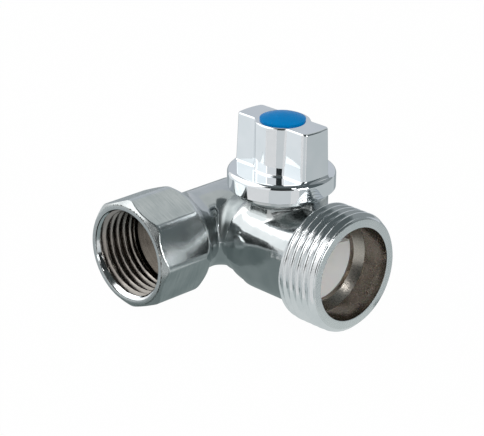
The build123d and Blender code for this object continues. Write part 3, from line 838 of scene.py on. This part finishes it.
def card(name, azimuths, elevations, shade, distance=1.5):
    """Curved reflector round the object that only reflections see."""
    across = np.radians(np.linspace(*azimuths, CARD_STEPS + 1))
    upward = np.radians(np.linspace(*elevations, CARD_ROWS + 1))
    a, e = np.meshgrid(across, upward, indexing="ij")
    out = np.stack([np.sin(a) * np.cos(e), -np.cos(a) * np.cos(e), np.sin(e)], -1).reshape(-1, 3)
    col, row = np.meshgrid(np.arange(CARD_STEPS), np.arange(CARD_ROWS), indexing="ij")
    first = (col * (CARD_ROWS + 1) + row).reshape(-1)
    after = first + CARD_ROWS + 1
    mesh = bpy.data.meshes.new(name)
    mesh.from_pydata((np.array(AIM) + out * distance).tolist(), [],
                     np.stack([first, first + 1, after + 1, after], 1).tolist())
    return only_mirrored(name, mesh, shade)


def floor_card(name, azimuths, near, far, shade, lift=0.0002):
    """Sheet on the floor that only reflections see: part of a ring round the object."""
    count = FLOOR_CARD_STEPS + 1
    across = np.radians(np.linspace(*azimuths, count))
    ring = np.stack([np.sin(across), -np.cos(across), np.zeros(count)], -1)
    centre = np.array([AIM.x, AIM.y, lowest + lift])
    mesh = bpy.data.meshes.new(name)
    mesh.from_pydata(np.concatenate([centre + near * ring, centre + far * ring]).tolist(), [],
                     [(i, i + 1, i + 1 + count, i + count) for i in range(FLOOR_CARD_STEPS)])
    return only_mirrored(name, mesh, shade)


def only_mirrored(name, mesh, shade):
    """Object for a card, seen by reflections and by nothing else."""
    made = bpy.data.objects.new(name, mesh)
    bpy.context.scene.collection.objects.link(made)
    material, tree, main = shader(name, shade, 0.0, 1.0)
    glow = node(tree, "ShaderNodeEmission", Color=(*shade, 1), Strength=1.0)
    tree.links.new(glow.outputs[0], tree.nodes["Material Output"].inputs["Surface"])
    mesh.materials.append(material)
    made.visible_camera = False
    made.visible_diffuse = False
    made.visible_shadow = False
    made.visible_transmission = False
    made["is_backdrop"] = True
    return made


lamp("key", -55, 39, 1.0, 1.35, 1.1, 5.7)
lamp("fill", 90, 13, 1.2, 0.45, 0.3, 3.6)
lamp("glint", 75, 43, 1.2, 0.16, 0.12, 0.7)
card("back_low", (174, 262), (0, 36), (0.60, 0.635, 0.68))
card("back_high", (174, 262), (36, 66), (0.64, 0.67, 0.67))
card("right_back", (140, 174), (-3, 66), (0.28, 0.31, 0.32))
card("right_low", (96, 140), (-3, 27), (0.10, 0.125, 0.13))
card("right_high", (62, 140), (27, 66), (0.10, 0.12, 0.125))
card("overhead", (0, 360), (66, 90), (0.12, 0.14, 0.145))
card("camera_card", (22, 70), (-12, 36), (0.03, 0.035, 0.035), 1.4)
card("over_camera", (0, 70), (36, 66), (0.06, 0.07, 0.07), 1.4)
card("front_left", (282, 338), (3, 33), (1.32, 1.36, 1.37), 0.85)
# Floor cards paint the floor's light and shade as reflections see it: a dark disc paints the
# object's shadow under it, with a lighter sheet under the outlet. The floor is darker towards the
# camera and darker to the right and back, where the key light's shadow falls, and lighter far to
# the left
floor_card("floor_painted_shadow", (0, 360), 0.0, 0.038, (0.26, 0.305, 0.305))
floor_card("floor_thread", (50, 120), 0.014, 0.040, (0.66, 0.70, 0.70), 0.0004)
floor_card("floor_front", (25, 68), 0.038, 0.5, (0.68, 0.71, 0.72))
floor_card("floor_right", (84, 178), 0.038, 0.9, (0.55, 0.59, 0.60))
floor_card("floor_back", (178, 262), 0.038, 0.9, (0.36, 0.40, 0.42))
floor_card("floor_left", (262, 335), 0.038, 0.075, (0.60, 0.64, 0.66))
floor_card("floor_far_left", (262, 335), 0.075, 0.9, (0.86, 0.90, 0.92))

# Camera: direction in degrees, roll, distance in metres, focal length and width in pixels
CAMERA_AZIMUTH, CAMERA_ELEVATION = 45.227, 22.912
CAMERA_ROLL = math.radians(0.729)
CAMERA_DISTANCE = 0.3932
FOCAL, PICTURE_WIDTH = 1800.0, 484.0
SENSOR = 36.0
target = Vector((CENTRE + np.array([-7.143, -4.729, 5.269])) / 1000.0)
back = toward(CAMERA_AZIMUTH, CAMERA_ELEVATION)
turned = math.radians(CAMERA_AZIMUTH)
flat_right = Vector((math.cos(turned), math.sin(turned), 0))
flat_up = back.cross(flat_right)
right = flat_right * math.cos(CAMERA_ROLL) + flat_up * math.sin(CAMERA_ROLL)
up = flat_up * math.cos(CAMERA_ROLL) - flat_right * math.sin(CAMERA_ROLL)
lens = bpy.data.cameras.new("camera")
lens.sensor_width = SENSOR
lens.sensor_fit = "HORIZONTAL"
lens.lens = FOCAL * SENSOR / PICTURE_WIDTH
lens.clip_start, lens.clip_end = 0.01, 20.0
camera = bpy.data.objects.new("camera", lens)
bpy.context.scene.collection.objects.link(camera)
placed = Matrix((right, up, back)).transposed().to_4x4()
placed.translation = target + back * CAMERA_DISTANCE
camera.matrix_world = placed
bpy.context.scene.camera = camera
bpy.context.scene.view_settings.view_transform = "Standard"
